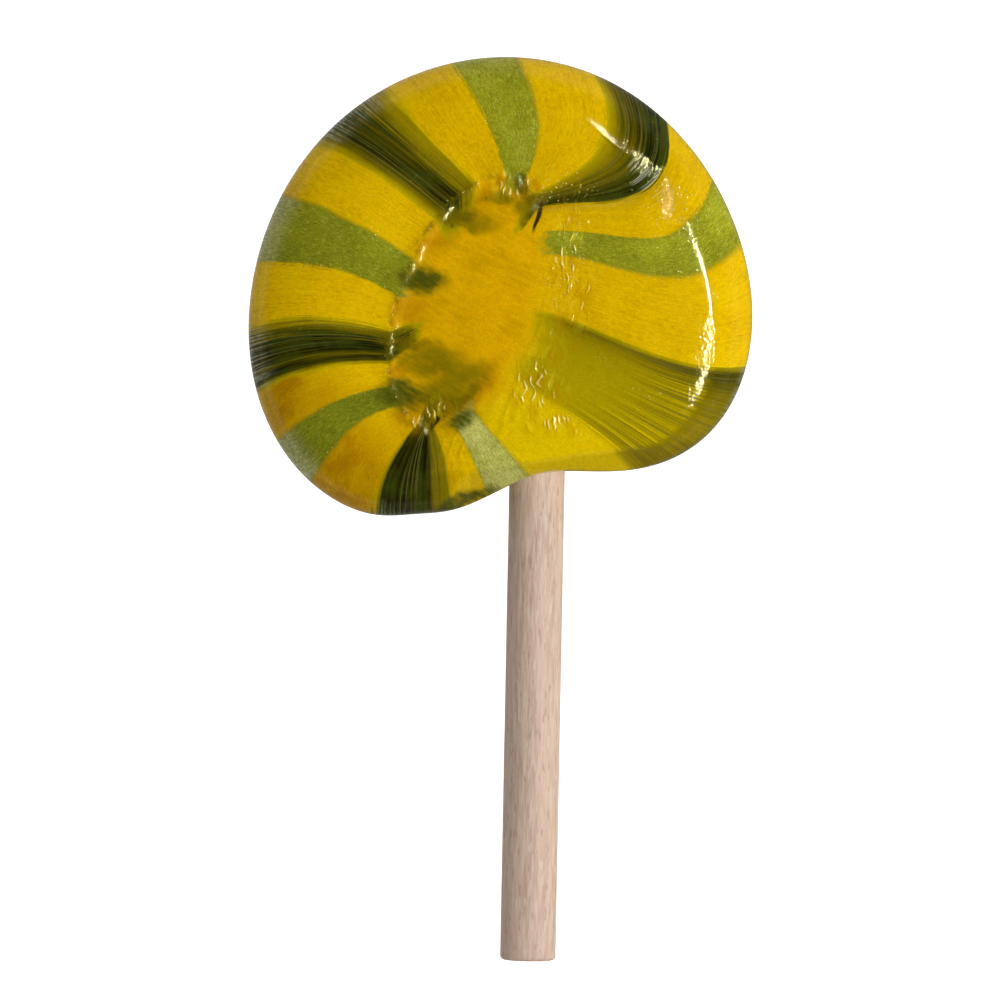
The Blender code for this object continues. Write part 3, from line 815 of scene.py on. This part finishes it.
def birch_wood():
    material, start, shader = new_material("birch_wood")
    here = start.node("TexCoord", output=3).stretched(1.0 / MM, 1.0 / MM, 1.0 / MM)
    fibres = here.stretched(1.0, 0.09, 1.0).grain(0.28, 3.0, 0.6)
    figure = here.stretched(1.0, 0.07, 1.0).grain(1.1, 2.0)
    flecks = here.stretched(1.0, 0.22, 1.0).grain(0.30, 1.0)
    colour = fibres.ramp(0.34, 0.66).blend(BIRCH_DARK, BIRCH_LIGHT)
    colour = (figure.ramp(0.40, 0.62) * 0.6).blend(colour, BIRCH_FIGURE)
    colour = (flecks.ramp(0.62, 0.72) * 0.5).blend(colour, PALE_FLECK)
    colour = (flecks.ramp(0.38, 0.30) * 0.5).blend(colour, DARK_FLECK)
    end_grain = here.part(1).ramp(STICK_LOW.y / MM + 0.12, STICK_LOW.y / MM + 0.04)
    pores = here.grain(0.22, 2.0)
    colour = (end_grain * 0.8).blend(colour, pores.ramp(0.35, 0.65).blend(END_DARK, END_LIGHT))
    tree = material.node_tree
    tree.links.new(colour.socket, shader.inputs["Base Color"])
    height = (fibres - 0.5) * FIBRE_RISE + (flecks - 0.5) * FLECK_RISE
    bump = start.node("Bump", None, {"Strength": 1.0, "Distance": MM, "Height": height})
    tree.links.new(bump.socket, shader.inputs["Normal"])
    shader.inputs["Roughness"].default_value = 0.6
    shader.inputs["Specular IOR Level"].default_value = 0.3
    return material


birch_stick = make_stick()
birch_stick.data.materials.append(birch_wood())
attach(birch_stick, "root")
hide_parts("stick")

# The set: a plain white floor just under the lollipop, a large soft light from the
# right that the gloss doesn't show, two narrow strip lights that only the gloss
# shows, and a horizon that is paler at the left.

FLOOR_DROP = 0.00005
FLOOR_SIZE = 3.0
FLOOR_GLOW = 0.35
AIM_HEIGHT = 8.0
bm = bmesh.new()
bmesh.ops.create_grid(bm, x_segments=1, y_segments=1, size=FLOOR_SIZE / 2.0,
                      matrix=Matrix.Translation((0.0, 0.0, -FLOOR_DROP)))
floor_mesh = bpy.data.meshes.new("floor")
bm.to_mesh(floor_mesh)
bm.free()
floor = bpy.data.objects.new("floor", floor_mesh)
bpy.context.scene.collection.objects.link(floor)
floor_paint, _, shader = new_material("floor_paint")
shader.inputs["Base Color"].default_value = (0.95, 0.95, 0.95, 1.0)
shader.inputs["Emission Color"].default_value = (1.0, 1.0, 1.0, 1.0)
shader.inputs["Emission Strength"].default_value = FLOOR_GLOW
shader.inputs["Roughness"].default_value = 0.9
shader.inputs["Specular IOR Level"].default_value = 0.0
floor_mesh.materials.append(floor_paint)
floor.visible_glossy = False


def area_light(name, place, size, power, roll=0.0):
    """A rectangle of light aimed at the candy head, rolled about its aim in degrees."""
    lamp = bpy.data.lights.new(name, "AREA")
    lamp.shape = "RECTANGLE"
    lamp.size, lamp.size_y = size
    lamp.energy = power
    light = bpy.data.objects.new(name, lamp)
    light.location = place
    target = Vector((HEAD_MIDDLE_X, 0.0, AIM_HEIGHT)) * MM
    aim = (target - Vector(place)).to_track_quat("-Z", "Y")
    light.rotation_mode = "QUATERNION"
    light.rotation_quaternion = aim @ Quaternion((0.0, 0.0, 1.0), math.radians(roll))
    bpy.context.scene.collection.objects.link(light)
    return light


soft_key = area_light("soft_key", place=(0.26, -0.01, 0.44), size=(0.50, 0.50), power=3.5)
soft_key.visible_glossy = False
soft_key.data.use_shadow = False
gloss_strip = area_light("gloss_strip", place=(0.26, 0.02, 0.36), size=(0.30, 0.006), power=2.4)
top_glint = area_light("top_glint", place=(0.110, 0.230, 0.365), size=(0.003, 0.10), power=0.33,
                       roll=28.3)
for lamp in (gloss_strip, top_glint):
    lamp.data.use_shadow = False
    lamp.visible_diffuse = False

world = bpy.data.worlds.new("studio")
world.use_nodes = True
bpy.context.scene.world = world
sky = Wire(world.node_tree)
outward = sky.node("TexCoord")
height = outward.part(2)
leftward = (outward.part(0) - outward.part(1) * 0.5).ramp(0.6, -0.8)
above = height.ramp(0.5, 0.0) * (leftward * 0.45 + 0.35)
below = leftward * 0.3 + 0.08
level = height.ramp(0.0, 0.02) * (above - below) + below
glow = level.blend((0.02, 0.02, 0.02), (1.0, 1.0, 1.0))
world.node_tree.links.new(glow.socket, world.node_tree.nodes["Background"].inputs["Color"])

# The camera: straight above, as the photo looks at the head, rolled so that the
# stick leans as it does there, with a long lens.

CAMERA_X = -2.97
CAMERA_Y = -17.43
CAMERA_ROLL = 1.11
PICTURE_WIDTH = 81.1 * MM
LENS = 250.0
SENSOR = 36.0
camera_data = bpy.data.cameras.new("camera")
camera_data.lens = LENS
camera_data.sensor_width = SENSOR
camera = bpy.data.objects.new("camera", camera_data)
distance = PICTURE_WIDTH * LENS / SENSOR
camera.location = (CAMERA_X * MM, CAMERA_Y * MM, WAIST_HEIGHT * MM + distance)
camera.rotation_euler = (0.0, 0.0, math.radians(CAMERA_ROLL))
bpy.context.scene.collection.objects.link(camera)
bpy.context.scene.camera = camera
bpy.context.scene.view_settings.view_transform = "Standard"
